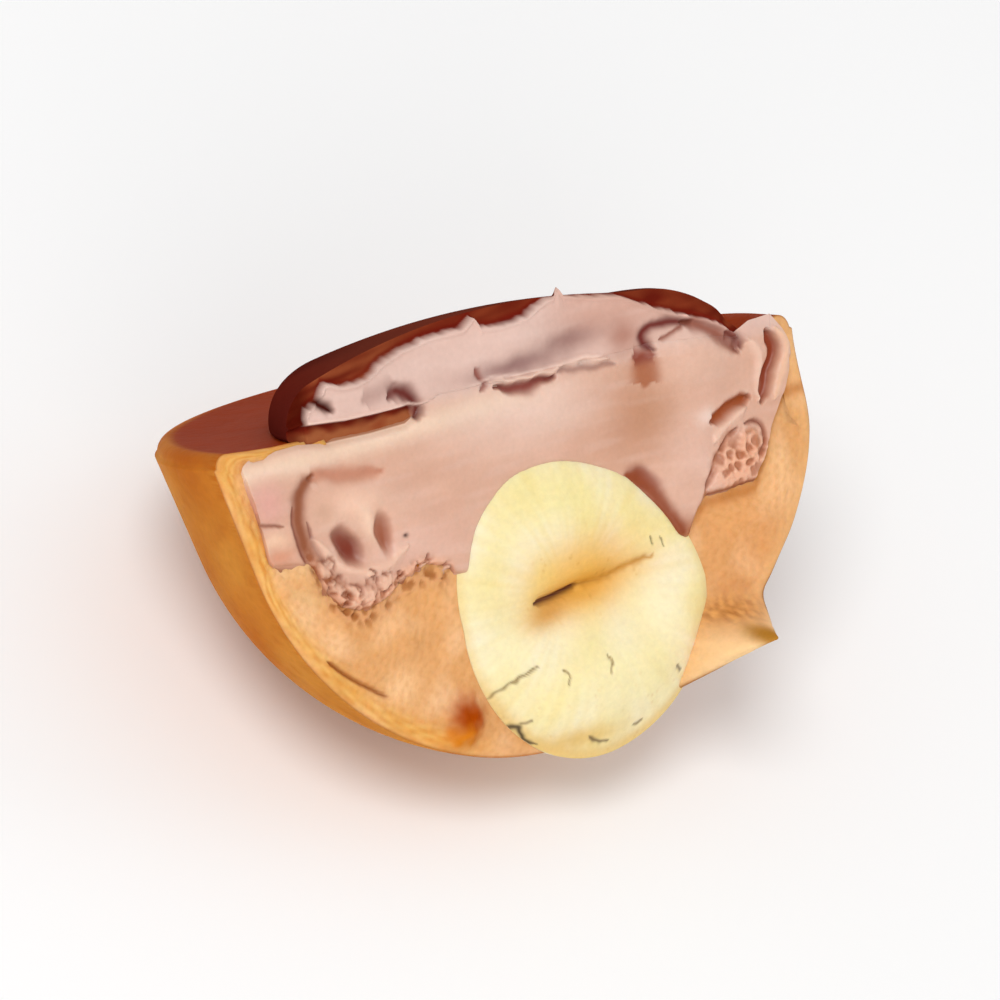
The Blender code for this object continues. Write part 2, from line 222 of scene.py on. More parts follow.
# A half turned piece between two lines of (r, z), above and below, that both run from a tip to the axis.
# Back: (r cos t, r sin t, z) for t from 0 to pi. Front: the section's outline is carried from y = 0 to the
# cut y = front(x, z), and the cut between the two lines is above * (1 - w) + below * w for w from 0 to 1.
def halfTurned(name, above, below, place, front, edge, paint, turnSteps=140, crossSteps=80, sideSteps=7):
    sheets = []
    turn = np.linspace(0, math.pi, turnSteps + 1)[None, :]
    w = np.linspace(0, 1, crossSteps + 1)
    w = 0.5 * w + 0.5 * (0.5 - 0.5 * np.cos(math.pi * w))  # closer together at both edges
    outline = {"above": above, "below": below}
    if not np.allclose(above[0], below[0]):  # a blunt tip gets a strip of its own
        outline["tip"] = above[0] * (1 - w[:, None]) + below[0] * w[:, None]
    for kind, line in outline.items():
        r, z = line[:, :1], line[:, 1:]
        points = place(r * np.cos(turn), r * np.sin(turn), z + 0 * turn)
        sheets.append((points, paint(points, None, kind), np.zeros(points.shape[:2])))

    t = np.linspace(0, 1, sideSteps)[None, :]
    for side in (1, -1):
        starts = {kind: place(side * line[:, 0], 0 * line[:, 0], line[:, 1])[:, [0, 2]]
                  for kind, line in outline.items()}
        ends = {kind: np.stack(edge(kind, *start.T), axis=-1) for kind, start in starts.items()}
        a, b = ends["above"], ends["below"]
        apart = np.hypot(*(a - b).T)[:, None]
        insets = {"above": (0 * apart, apart), "below": (apart, 0 * apart)}
        if "tip" in ends:
            ends["tip"] = a[0] * (1 - w[:, None]) + b[0] * w[:, None]
            insets["tip"] = apart[0] * w[:, None], apart[0] * (1 - w[:, None])
        for kind, start in starts.items():
            end = ends[kind]
            reach = front(end[:, :1], end[:, 1:], *insets[kind])
            x = start[:, :1] * (1 - t) + end[:, :1] * t
            z = start[:, 1:] * (1 - t) + end[:, 1:] * t
            points = np.stack([x, reach * t, z], axis=-1)
            colour = paint(points, None, kind) + 0 * points
            colour[:, -1:] = paint(points[:, -1:], insets[kind], "cut")  # the seam has the cut's own paint
            sheets.append((points, colour, 0.5 * t ** 4 + 0 * x))
        x = a[:, :1] * (1 - w) + b[:, :1] * w
        z = a[:, 1:] * (1 - w) + b[:, 1:] * w
        insetAbove = np.hypot(x - a[:, :1], z - a[:, 1:])
        insetBelow = np.hypot(x - b[:, :1], z - b[:, 1:])
        points = np.stack([x, front(x, z, insetAbove, insetBelow), z], axis=-1)
        sheets.append((points, paint(points, (insetAbove, insetBelow), "cut"), np.ones(x.shape)))
    return meshFrom(name, sheets)


def finishPiece(piece, node, look):  # one mesh takes the place of one node, with its finish
    piece.data.materials.append(look)
    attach(piece, "root")
    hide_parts(node)


# The cut: one face for nougat and chocolate, another for caramel, a third for the nut. Each stands so far
# in front of the axis, and the right side of all three stands further forward.
stand = {"face": 0.45, "caramel": 0.16, "nut": 0.5, "right": 1.3, "least": 0.04}


# how far the cut stands forward: nothing at the left, 1.3 mm at the right
def forward(x):
    return stand["right"] * smoothStep(x, 3.0, 10.0)


# the line where nougat ends and caramel begins, and the nougat's upper edge, as heights over x
def nougatBottom(x):
    return np.interp(x, [-12.6, -12.2, -11.2, -10.5, -9.9, -9.3, -8.2, -7.0, -6.3, -5.1, -3.7, -2.5, 6.4, 7.1, 7.6,
                         8.1, 9.1, 10.4, 11.0, 11.4, 11.7, 12.0, 12.6],
                     [-4.3, -4.8, -4.9, -5.1, -6.2, -7.0, -7.4, -7.0, -6.5, -6.3, -6.8, -7.2, -7.4, -7.5, -6.5,
                      -5.95, -5.9, -5.8, -4.9, -4.0, -3.4, -2.8, -2.25])


def nougatRight(z):  # the same edge of the nougat at the right, over the height
    return np.interp(z, [-5.8, -4.9, -4.0, -3.4, -2.8, -2.25, -1.3, -0.6, 0.1, 0.8],
                     [10.4, 11.0, 11.4, 11.7, 12.0, 12.6, 12.95, 12.95, 12.65, 12.1])


def nougatTop(x):
    return np.interp(x, [-13.1, -12.0, -11.3, -10.3, -8.8, -6.9, -5.1, -4.6, -4.2, -3.4, -1.7, 4.7, 5.3, 6.5, 9.0, 10.2,
                         11.0, 12.1, 12.7],
                     [-0.3, -0.46, -0.27, -0.22, -0.45, -0.47, -0.42, -0.15, 0.4, 0.62, 0.6, 0.6, 0.62, 0.75, 0.6, 0.35,
                      0.72, 0.8, 0.2])


# the upper edge of the smear over the broken chocolate
def smearTop(x):
    return np.interp(x, [-10.0, -9.7, -9.1, -8.7, -8.0, -7.3, -6.6, -5.9, -4.9, -3.6, -1.9, -1.32, -1.05, 0.0, 1.14,
                         2.2, 2.7, 2.93, 3.2, 4.4, 5.6, 5.9, 6.7, 7.6, 8.3, 9.0, 10.0, 10.5],
                     [0.3, 1.1, 1.35, 1.95, 1.7, 1.68, 1.92, 2.3, 2.6, 2.82, 2.85, 3.25, 2.7, 2.66, 2.8, 3.2,
                      3.28, 3.72, 3.25, 2.95, 2.78, 2.6, 2.16, 1.72, 1.48, 1.2, 0.62, 0.1])


# the lower lip of the chocolate, over the two gaps between it and the nougat
def dropLip(x):
    return np.interp(x, [-10.6, -9.9, -7.9, -6.4, -4.9, -4.4, -1.2, -0.9, 0.7, 2.6, 3.6, 4.5],
                     [0.4, 0.48, 0.3, 0.3, 0.33, 0.2, 0.5, 0.6, 0.43, 0.46, 0.6, 0.42])


# strokes and pits of the face
faceStrokes = [
    stroke([(-6.7, -2.0), (-8.3, -1.82), (-9.45, -1.55), (-10.05, -1.62)],
           0.33, -0.1, "C98A70", 0.9, sharp=1.2),  # the groove at the left, shallow above and deep down the side
    stroke([(-9.9, -1.55), (-10.35, -1.75), (-10.72, -2.4), (-10.82, -3.2), (-10.74, -4.0), (-10.48, -4.7),
            (-10.05, -5.4), (-9.55, -6.05), (-9.0, -6.65)], 0.33, -0.12, "95573C", 0.95, sharp=1.3),
    stroke([(-11.05, -2.6), (-11.12, -3.3), (-11.03, -4.0), (-10.76, -4.7), (-10.35, -5.4)], 0.09, -0.08, "804228",
           0.7),
    stroke([(-10.45, -3.3), (-10.36, -4.1), (-10.03, -4.9), (-9.6, -5.6)], 0.08, -0.08, "84462C", 0.7),
    # painted highlight along this ridge under the pits
    stroke([(-10.35, -4.0), (-9.85, -4.75), (-9.2, -5.35), (-8.3, -5.75), (-7.4, -5.78), (-6.58, -5.5),
            (-6.0, -5.15)], 0.22, 0.16, "F2C8B0", 0.65),
    stroke([(-13.0, -3.12), (-12.55, -3.02), (-11.6, -3.2)], 0.08, -0.1, "98604A", 0.8),
    stroke([(-5.5, -6.1), (-4.8, -6.25), (-4.2, -6.5), (-3.76, -6.8)], 0.13, -0.28, "8C4A34", 0.9),
    stroke([(11.85, 0.15), (12.1, -0.45), (12.05, -1.05), (11.68, -1.7), (11.35, -2.2), (11.2, -2.6)], 0.29, -0.38,
           "984A20", 1.0, sharp=1.8),  # the hollow by the rim
    # painted highlight along the ridge right of the hollow by the rim
    stroke([(12.3, 0.2), (12.75, -0.5), (12.55, -1.35), (12.1, -2.1), (11.75, -2.65)], 0.2, 0.11, "F3C6A6", 0.7),
    # painted highlight along the ridge left of it
    stroke([(10.85, -0.1), (11.32, -0.75), (11.25, -1.6), (10.95, -2.5)], 0.2, 0.14, "F3CDB8", 0.7),
    stroke([(8.55, -3.02), (9.5, -2.6), (10.5, -2.35)], 0.3, -0.36, "A85A2C", 1.0, sharp=1.8),  # the slanting hollow
    # painted highlight along the ridge under the slanting hollow
    stroke([(8.4, -3.85), (9.26, -3.25), (10.3, -2.78)], 0.17, 0.16, "F0C8B2", 0.75),
    stroke([(10.5, -3.75), (10.62, -4.2), (10.3, -4.72), (9.95, -4.75), (9.85, -4.25), (10.1, -3.8), (10.5, -3.75)],
           0.12, 0.14, "C89070", 0.85, ends=0.01),  # a curl of cream
    stroke([(10.2, -3.35), (10.95, -3.55), (11.0, -4.3), (10.6, -5.0)], 0.1, -0.2, "8E4A32", 0.85),
    stroke([(9.75, -3.5), (8.85, -4.2), (8.3, -5.0), (7.95, -5.7)], 0.14, -0.24, "9A563C", 0.85),
    stroke([(11.68, -3.6), (11.25, -4.75), (10.55, -5.75)], 0.08, -0.16, "7E4026", 0.85),
    stroke([(4.9, -4.5), (5.45, -4.98), (5.85, -5.65), (6.35, -6.6), (6.85, -7.45)], 0.4, -0.04, "944C10", 0.95,
           sharp=1.5),  # browned beside the nut
    stroke([(7.92, -5.75), (7.9, -6.25), (7.55, -6.8), (7.1, -7.55)], 0.16, -0.06, "A66236", 0.85),
    stroke([(-0.75, 0.12), (0.0, 0.0), (0.8, -0.05), (1.5, 0.0), (2.1, 0.1)], 0.28, -0.3, "8A4236", 0.95, sharp=1.3,
           ends=0.4),  # the pocket under the middle lip, painted dark as painted shadow
    # painted highlight along the middle lip
    stroke([(-0.95, 0.5), (-0.06, 0.36), (0.86, 0.36), (1.77, 0.38), (2.6, 0.48), (3.42, 0.53), (4.07, 0.49),
            (4.68, 0.33)], 0.12, 0.16, "EAC4B2", 0.9),
    stroke([(2.3, 0.2), (3.18, 0.2), (4.29, 0.12), (5.0, 0.02)], 0.13, -0.12, "A0766A", 0.7),
    stroke([(-1.55, 1.1), (-1.3, 0.74), (-1.15, 0.44), (-1.5, 0.15)], 0.14, -0.14, "94544A", 0.8),
    stroke([(-5.9, 0.7), (-5.35, 0.95), (-4.8, 0.72), (-4.5, 0.25), (-4.6, -0.3)], 0.3, -0.34, "703028",
           0.95),  # the end of the left gap
    # painted shade beside the end of the left gap
    stroke([(-7.0, 0.95), (-6.2, 1.1), (-5.4, 1.25)], 0.4, -0.12, "A27C74", 0.5),
    stroke([(-8.87, 2.0), (-9.4, 1.7), (-9.05, 1.2), (-8.45, 0.8)], 0.23, -0.35, "5A2214", 1.0),
    stroke([(6.2, 0.1), (6.05, -0.95)], 0.56, -0.03, "AC6848", 0.9, sharp=2.0, ends=0.01),  # a brown stain
    stroke([(5.8, 0.2), (6.6, 0.15)], 0.34, -0.05, "8E4836", 0.9, sharp=1.3, ends=0.01),
    stroke([(6.68, 0.35), (6.3, 0.73), (6.32, 1.07), (6.73, 1.35), (7.59, 1.33), (8.44, 1.17)], 0.2, -0.2, "74302A",
           0.95),
    stroke([(6.87, 0.73), (7.5, 0.86), (8.0, 1.07)], 0.1, -0.12, "8E5244", 0.8),
    # painted highlight along the pink rim under the chocolate chunk
    stroke([(7.9, 1.62), (8.65, 1.44), (9.38, 1.09), (10.0, 0.59), (10.48, 0.12)], 0.14, 0.2, "F3C8BA", 0.9),
    # painted shadow under the pale rim
    stroke([(8.1, 1.22), (9.1, 0.78), (9.8, 0.12), (10.4, -0.46)], 0.3, -0.22, "985E50", 0.9),
    stroke([(9.9, 0.45), (10.35, 0.15), (10.6, -0.35)], 0.24, -0.2, "7A3A28", 0.85),
]
facePits = [
    mound((-8.72, -4.6), 0.5, 0.95, -0.4, "88421E", 1.0, turn=35, sharp=2.2),  # two pits as from finger tips
    mound((-6.98, -4.45), 0.42, 0.88, -0.34, "A6644C", 1.0, turn=8, sharp=2.2),
    # painted highlights on the raised cream above and between the pits
    mound((-8.2, -3.1), 1.5, 0.8, 0.24, "F5CBB2", 0.8, turn=-4),
    mound((-7.75, -3.9), 0.3, 0.9, 0.14, "F9D6BC", 0.7, turn=20),
    mound((-9.7, -3.0), 0.5, 0.4, 0.0, "C79A80", 0.5),
    # painted shade left of the stain's curl
    mound((5.5, 1.1), 0.7, 0.75, -0.1, "AE7A6A", 0.75),
    mound((-5.98, -4.77), 0.12, 0.09, -0.1, "543228", 1.0),
    # painted shade above the middle lip
    mound((0.4, 0.88), 2.2, 0.42, -0.25, "8E6A68", 0.8, turn=2),
    # painted shade in the hollow higher up
    mound((3.2, 1.42), 1.4, 0.5, -0.12, "946E68", 0.75, turn=6),
    mound((8.0, -0.2), 1.5, 0.9, 0.12, "E4BCA8", 0.4, turn=-8),
    mound((6.5, -2.6), 0.9, 1.6, -0.03, "BC8664", 0.6),
    mound((8.35, -2.75), 0.45, 0.35, 0.06, "F8E4DA", 0.7),
    mound((5.5, -4.78), 0.78, 0.4, 0.0, "8A4410", 0.95, turn=-38, sharp=2.0),  # browned beside the nut
    mound((7.05, -7.25), 0.45, 0.55, 0.0, "A86238", 0.85),
    mound((7.4, -4.0), 1.3, 2.2, 0.32, "E9C3B2", 0.6, turn=-22),
    mound((8.4, -0.6), 1.7, 1.2, 0.22, "E3B9A4", 0.6, turn=10),
    mound((8.3, -5.2), 0.5, 0.9, 0.1, "F0CDBE", 0.6, turn=25),
    mound((9.3, -5.2), 0.9, 0.5, 0.1, "F2B8A0", 0.5, turn=10),
    mound((-12.2, -2.2), 0.8, 0.9, 0.05, "E6ACA0", 0.8),
    mound((-12.2, -3.75), 0.8, 0.45, 0.05, "F7CDAE", 0.8),
    mound((-11.9, -4.5), 0.7, 0.4, -0.03, "DF9878", 0.7),
]


# a point's place drawn a little aside by waves, so that no outline runs too clean
def wander(x, z):
    return (x + 0.07 * waves(x, z, 1.3, 71) + 0.009 * waves(x, z, 0.35, 72),
            z + 0.07 * waves(x, z, 1.3, 73) + 0.009 * waves(x, z, 0.35, 74))


# face = -(its stand + forward + slow waves + knife drag + pits + strokes + torn bubbles)
def faceCut(x, z):
    bubbles = torn(x, z)
    a, b = wander(x, z)
    slow = 0.08 * waves(x, z, 5.0, 3) + 0.05 * waves(x, z, 1.9, 4, stretch=2.0)
    drag = 0.008 * waves(x, z - 0.06 * x, 0.55, 5, stretch=9)
    fine = 0.006 * waves(x, z, 0.4, 6)
    ragged = craters(a, b)
    return -(stand["face"] + forward(x) + slow + drag + fine + moundSum(facePits, a, b)
             + strokeSum(faceStrokes, a, b) + bubbles * 0.17 * ragged + bubbleRings(x, z)[0])


# a bubble's ring is exp(-((d - 1) / 0.28)^2) and its dome exp(-(d / 0.7)^4), d = distance to its middle / size
bubbleTable = [(-9.94, -5.35, 0.4), (-9.5, -6.15, 0.34), (-8.85, -6.45, 0.3), (-8.15, -6.72, 0.42), (-7.25, -6.4, 0.36),
               (-7.95, -5.98, 0.24), (-8.95, -7.05, 0.28), (-6.4, -6.4, 0.24), (-4.3, -6.58, 0.3), (-5.2, -6.15, 0.22)]


def bubbleRings(x, z):
    a = x + 0.13 * waves(x, z, 0.7, 75) + 0.06 * waves(x, z, 0.25, 77)
    b = z + 0.13 * waves(x, z, 0.7, 76) + 0.06 * waves(x, z, 0.25, 78)
    ring, dome = np.zeros(x.shape), np.zeros(x.shape)
    for atX, atZ, size in bubbleTable:
        d = np.hypot(a - atX, b - atZ) / size
        ring = np.maximum(ring, bell(d - 1, 0.28))
        dome = np.maximum(dome, np.exp(-(d / 0.7) ** 4))
    ring = ring * smoothStep(waves(x, z, 0.55, 79), -0.75, 0.45)  # broken into arcs
    return 0.1 * dome - 0.13 * ring, ring, dome


# craters = -0.6 in the middle of a bubble, +0.4 on the rims between them, with a finer set over a coarser
def craters(x, z):
    coarse = smoothStep(cells(x, z, 0.5, 3.0), 0.18, 0.6)
    fine = smoothStep(cells(x, z, 0.27, 9.0), 0.1, 0.6)
    return 0.75 * coarse + 0.35 * fine - 0.65


def torn(x, z):  # where the cream tore into bubbles: along the caramel at the left, and the right corner
    high = 0.3 + 0.35 * spot(x, z, (-9.2, -6.4), 1.6, 9)
    rough = bell(z - nougatBottom(x) - 0.2, high) * smoothStep(x, -11, -10) * smoothStep(-x, 3.6, 4.6)
    corner = spot(x, z, (9.75, -4.85), 1.55, 1.1, turn=25, sharp=2.0)
    return np.clip(rough + corner, 0, 1)


# the colour of the smeared face: rosier and greyer above (partly the smear's own colour, partly painted sheen), warmer
# below, browned in every pit
def facePaint(x, z):
    a, b = wander(x, z)
    colour = mix("DDAE96", "E2B6A0", 0.5 + 0.5 * np.clip(waves(x, z, 4.0, 21), -1, 1))
    # paler and greyer upwards: partly the smear's colour, partly painted sheen
    colour = mix(colour, "E6C6BA", smoothStep(z, -0.3, 0.7) * 0.95)
    colour = mix(colour, "D6AC9C", smoothStep(z, 0.5, 2.2) * smoothStep(x, 1.5, 4.5) * 0.9)
    # painted highlight: a pale band along the nougat's upper edge
    colour = mix(colour, "F2D3BA", bell(z + 0.75 - 0.04 * (x + 8), 0.5) * smoothStep(-x, -3, 2))
    colour = mix(colour, "F4D9CB", 0.6 * spot(x, z, (1.2, -1.1), 4.6, 1.3))
    colour = mix(colour, "C48E70", 0.85 * spot(x, z, (5.8, -2.1), 2.0, 2.1))
    colour = mix(colour, "EDC3B2", 0.6 * spot(x, z, (-5.6, -5.3), 2.6, 0.8))
    streak = np.clip(0.5 + 0.5 * waves(x, z - 0.05 * x, 1.3, 22, stretch=4), 0, 1)
    colour = mix(colour, colour * np.array([0.92, 0.87, 0.85]), 0.6 * streak)
    colour = mix(colour, "F3D8CE", 0.12 * np.clip(waves(x, z - 0.05 * x, 0.6, 23, stretch=5), 0, 1))
    for m in facePits:
        colour = mix(colour, m["tint"], moundMask(m, a, b) * m["share"])
    for s in faceStrokes:
        colour = mix(colour, s["tint"], strokeMask(s, a, b) * s["share"])
    low = smoothStep(-craters(a, b), -0.25, 0.35)
    colour = mix(colour, mix("F2B898", "B6714E", low), torn(x, z) * 0.85)
    ring, dome = bubbleRings(x, z)[1:]
    return mix(mix(colour, "EFC2A8", 0.7 * dome), "96543A", 0.7 * ring)


# The caramel cup

caramel = {
    "mounds": [
        mound((8.25, -11.75), 1.5, 0.62, 3.1, "FFE0B4", 0.95, turn=18, sharp=0.6),  # the torn flap
        mound((7.3, -12.4), 1.6, 0.9, 0.7, "FFD6A0", 0.8, turn=30),
        mound((9.6, -10.4), 1.2, 0.6, -0.5),  # notch over it
        mound((-8.5, -8.8), 1.6, 1.1, 0.25, turn=-30),
        mound((-5.6, -10.4), 1.2, 0.9, -0.25, turn=20),
        mound((-4.2, -12.65), 0.85, 1.0, 0.4, "AC5200", 1.0, turn=-8, sharp=1.6),  # a syrupy blob by the nut
        mound((-4.65, -13.35), 0.8, 0.4, 0.25, "DC8420", 0.9, sharp=1.3),
        mound((11.3, -7.4), 1.1, 1.3, 0.25),
    ],
    "strokes": [
        stroke([(-10.3, -9.0), (-9.2, -10.0), (-7.6, -11.1)], 0.09, -0.2, "9A5626", 0.8),  # crack by the rind
    ],
    # the ring is the caramel's own darker brown, deepened further as painted shade
    "outer": "C0702C", "ring": "96440C", "section": "E6AC76",
}


# radius of the flared wall: where it touches the bowl, plus the height over that times tan(flare)
def wallRadius(z, inset=0.0):
    touchR = stance["bowlRadius"] * math.cos(stance["flare"])
    touchZ = stance["bowlRadius"] - stance["cupDepth"] - stance["bowlRadius"] * math.sin(stance["flare"])
    return touchR + (z - touchZ) * math.tan(stance["flare"]) - inset / math.cos(stance["flare"])


# the cup's unevenness: r grows by 1% cos(2a + 0.6) + 0.6% cos(3a - 0.8) and bulges at the right of the cut
def unevenCup(x, y, z):
    radius = np.hypot(x, y)
    turn = np.arctan2(y, x)
    share = 0.010 * np.cos(2 * turn + 0.6) + 0.006 * np.cos(3 * turn - 0.8)
    side = 0.5 * bell(turn, 0.45) * bell(z + 5.5, 3.5)
    splay = 0.9 * bell(turn + 0.3, 0.35) * bell(z + 11.9, 1.5)
    scale = 1 + share + (side + splay) * np.minimum(1, radius / 8) / np.maximum(radius, 1e-6)
    right = bell(turn, 0.42)  # the rim is drawn in and up at the right of the cut
    scale = scale - 0.066 * right * smoothStep(z, -4.6, 0.2) * smoothStep(radius, 9, 12)
    lift = 0.5 * right * smoothStep(z, -2.6, 0) * smoothStep(radius, 11.2, 13.2)
    height = z + 0.12 * np.cos(2 * turn - 0.9) * (radius / 14.05) ** 2 + lift
    return np.stack([x * scale, y * scale, height + 0 * x], axis=-1)


# above: the ring, its round corner, the straight flared wall and the bowl's arc; below: the same inside
def cupLines():
    bowl = stance["bowlRadius"] - stance["cupDepth"]
    touchZ = bowl - stance["bowlRadius"] * math.sin(stance["flare"])
    inset, floor, corner = 1.15, -6.9, 2.2
    cornerR = wallRadius(floor + corner, inset) - corner
    above = np.vstack([
        evenly([(8.9, -0.15), (11.4, -0.15), (12.5, -0.08), (13.35, -0.01)], 30)[:-1],
        evenly(arc(13.5, -0.5, 0.5, 105, -12), 14)[:-1],
        evenly([(wallRadius(-0.6), -0.6), (wallRadius(touchZ), touchZ)], 60)[:-1],
        evenly(arc(0, bowl, stance["bowlRadius"], -15, -90, 90), 190),
    ])
    below = np.vstack([
        evenly([(8.9, -0.5), (12.3, -0.55)], 30)[:-1],
        evenly([(12.3, -0.55), (12.75, -0.75), (wallRadius(-1.1, inset), -1.1)], 14)[:-1],
        evenly([(wallRadius(-1.1, inset), -1.1), (wallRadius(floor + corner, inset), floor + corner)], 60)[:-1],
        evenly([*arc(cornerR, floor + corner, corner, 0, -90), (0, floor)], 190),
    ])
    return above, below


# caramel cut = -(its stand + forward + lumps + crumb + mounds + strokes), rounded back where it meets the outside
def caramelCut(x, z, insetAbove, insetBelow):
    lumps = 0.07 * np.sin(1.7 * x + 0.7) * np.sin(1.9 * z - 0.4) + 0.05 * waves(x, z, 1.6, 31)
    crumb = 0.028 * waves(x, z, 0.42, 32) + 0.014 * np.abs(waves(x, z, 0.2, 33))
    alive = smoothStep(insetAbove, 0.0, 0.4) * smoothStep(nutShare(x, z), 1.0, 1.12)
    rough = brokenEdge(x, z)
    behind = 0.9 * smoothStep(z - nougatBottom(x), 0.1, 0.4) * smoothStep(x, 11, 11.5) * smoothStep(
        nougatRight(z) - x, 0.25, 0.6)  # hollow behind the nougat at the right
    lumps = lumps + rough * 0.12 * craters(x, z) + rough * bubbleRings(x, z)[0]
    face = -(stand["caramel"] + forward(x) + alive * (lumps + crumb) + moundSum(caramel["mounds"], x, z)
             + strokeSum(caramel["strokes"], x, z)) + 0.2 * np.exp(-(insetAbove / 0.16) ** 1.2) + behind
    return np.minimum(face, -stand["least"] / 2) + nutPocket(x, z)


def brokenEdge(x, z):  # the caramel's rough strip under the nougat, at the left of the nut
    under = bell(z - nougatBottom(x) + 0.25, 0.4)
    return under * smoothStep(x, -10.9, -9.8) * smoothStep(-x, 3.6, 4.8)


def cupEdge(kind, x, z):  # the inner line is drawn up to 0.35 mm over the nougat's lower edge
    if kind != "below":
        return x, z
    reach = nougatBottom(x) + 0.35
    share = smoothStep(-z, 1.3, 2.4) * smoothStep(12.6 - np.abs(x), 0.0, 0.3)
    return x, z * (1 - share) + np.maximum(reach, z) * share


# outside: amber with soft clouds, and brown on the ring, darkened further as painted shade; cut: paler, with an amber
# band along the outline that is partly painted highlight
def caramelPaint(points, inset, kind):
    x, y, z = points[..., 0], points[..., 1], points[..., 2]
    around = np.arctan2(y, x) * 12
    outer = mix(caramel["outer"], "D28E48", 0.5 + 0.5 * np.clip(waves(around, z, 5.0, 41), -1, 1))
    outer = mix(outer, "DEA04C", 0.4 * smoothStep(-z, 8, 14))
    outer = mix(outer, "B4662E", 0.35 * np.clip(waves(around, z, 1.2, 42, stretch=0.4), 0, 1))
    # the ring's brown, made darker as painted shade, eases to the wall's amber at the outer rim
    ring = smoothStep(z, -0.55, -0.22) * (0.3 + 0.7 * smoothStep(13.8 - np.hypot(x, y), 0, 0.5))
    outer = mix(outer, caramel["ring"], ring)
    if kind != "cut":
        return outer
    insetAbove = inset[0]
    crumb = 0.5 + 0.5 * np.clip(1.2 * waves(x, z, 0.42, 32) + 0.5 * waves(x, z, 0.2, 34), -1, 1)
    colour = mix(caramel["section"], "F6C494", np.clip(waves(x, z, 2.6, 43), 0, 1))
    for at, tall in (((-11.1, -7.2), 1.4), ((-6.9, -10.8), 0.8), ((11.7, -6.6), 1.5)):  # paler patches
        colour = mix(colour, "FCCC9A", 0.8 * spot(x, z, at, 1.0, tall))
    colour = mix(colour, "E6A26C", 0.45 * smoothStep(x, 6, 11) * smoothStep(-z, 5, 8))
    colour = mix(colour, "CC8850", 0.22 * smoothStep(crumb, 0.4, 1.0))
    # the amber band along the outline, and the paler strip near it at the right, are partly the caramel's own colour
    # and partly painted highlight
    band = bell(insetAbove - 0.45, 0.55) * smoothStep(-x, 2, 6)
    grain = 0.5 + 0.5 * np.clip(waves(insetAbove * 3, z - x, 1.6, 44, stretch=0.5), -1, 1)
    colour = mix(colour, mix("E09848", "F0BC6C", grain), 0.75 * band)
    colour = mix(colour, "F0BC84", 0.5 * bell(insetAbove - 0.35, 0.5) * smoothStep(x, 4, 8))
    colour = mix(colour, "A8622C", 0.75 * bell(insetAbove, 0.07))
    low = smoothStep(-craters(x, z), -0.2, 0.4)
    colour = mix(colour, mix("DEA478", "9E5E38", low), 0.75 * brokenEdge(x, z))
    ring, dome = bubbleRings(x, z)[1:]
    colour = mix(colour, "9A5A34", 0.6 * ring * smoothStep(nougatBottom(x) - z, -0.4, 0))
    a, b = x + 0.12 * waves(x, z, 0.7, 45), z + 0.12 * waves(x, z, 0.7, 46)
    for m in caramel["mounds"]:
        if m["tint"]:
            colour = mix(colour, m["tint"], moundMask(m, a, b) * m["share"])
    colour = mix(colour, mix("AA6828", "E4A460", crumb),
                 0.8 * spot(x, z, (8.1, -10.75), 1.7, 0.6))
    tip = spot(x, z, (8.25, -11.68), 0.55, 0.42, sharp=2)
    colour = mix(colour, "B27E30", 0.95 * tip)
    colour = mix(colour, "B87038", 0.6 * bell(z - nougatBottom(x) + 0.3, 0.3) * smoothStep(x, 7, 8))
    flapRim = bell(insetAbove, 0.16) * smoothStep(x, 4.2, 5.0) * smoothStep(-z, 9, 10)
    colour = mix(colour, "9A6230", 0.85 * flapRim)
    for s in caramel["strokes"]:
        colour = mix(colour, s["tint"], strokeMask(s, x, z) * s["share"])
    return colour


# The nougat

# above: up the wall and along under the drop; below: down the wall, round its corner and along the floor
def nougatLines():
    inset, floor, corner = 0.95, -6.95, 2.2
    cornerR = wallRadius(floor + corner, inset) - corner
    tip = (wallRadius(-2.6, inset), -2.6)
    above = evenly([tip, (wallRadius(-1.1, inset), -1.1), (12.5, -0.7), (12.2, -0.5), (8.9, -0.45), (8.6, -0.2),
                    (5.0, -0.15), (0, -0.15)], 330)
    below = evenly([tip, (wallRadius(floor + corner, inset), floor + corner),
                    *arc(cornerR, floor + corner, corner, 0, -90), (0, floor)], 330)
    return above, below


def nougatEdge(kind, x, z):  # both lines are drawn to the heights of nougatTop and nougatBottom
    limit = np.where(x > 9, nougatRight(z), 99)
    if kind == "below":
        near = np.where(x > 0, smoothStep(-z, 2.6, 2.9), smoothStep(12.64 + x, 0.0, 0.3))
        x = np.minimum(x, limit)
        return x, z * (1 - near) + nougatBottom(x) * near
    share = smoothStep(z, -1.6, -0.6)
    z = z * (1 - share) + nougatTop(x) * share
    return np.minimum(x + 0.5 * smoothStep(x, 11.8, 12.35), np.where(x > 9, nougatRight(z), 99)), z


# where the nougat's upper edge is free and not smeared onto the chocolate
def gapAbove(x):
    return smoothStep(x, -12.9, -12.3) * smoothStep(-x, 4.4, 4.8)


# nougat cut = the smeared face, pressed back by 0.26 and 0.24 mm along its free edges
def nougatCut(x, z, insetAbove, insetBelow):
    top = np.exp(-(insetAbove / 0.16) ** 1.5) * smoothStep(z, -1.0, -0.6)
    low = np.exp(-(np.minimum(insetBelow, insetAbove + 1.2 * smoothStep(z, -1.2, -0.9)) / 0.14) ** 1.3)
    under = 0.05 * bell(insetAbove, 0.3) * (1 - gapAbove(x))  # dips behind the smear on the chocolate
    face = faceCut(x, z) - 0.03 + 0.26 * top * gapAbove(x) + 0.24 * low + under
    return np.minimum(face, -stand["least"]) + nutPocket(x, z)


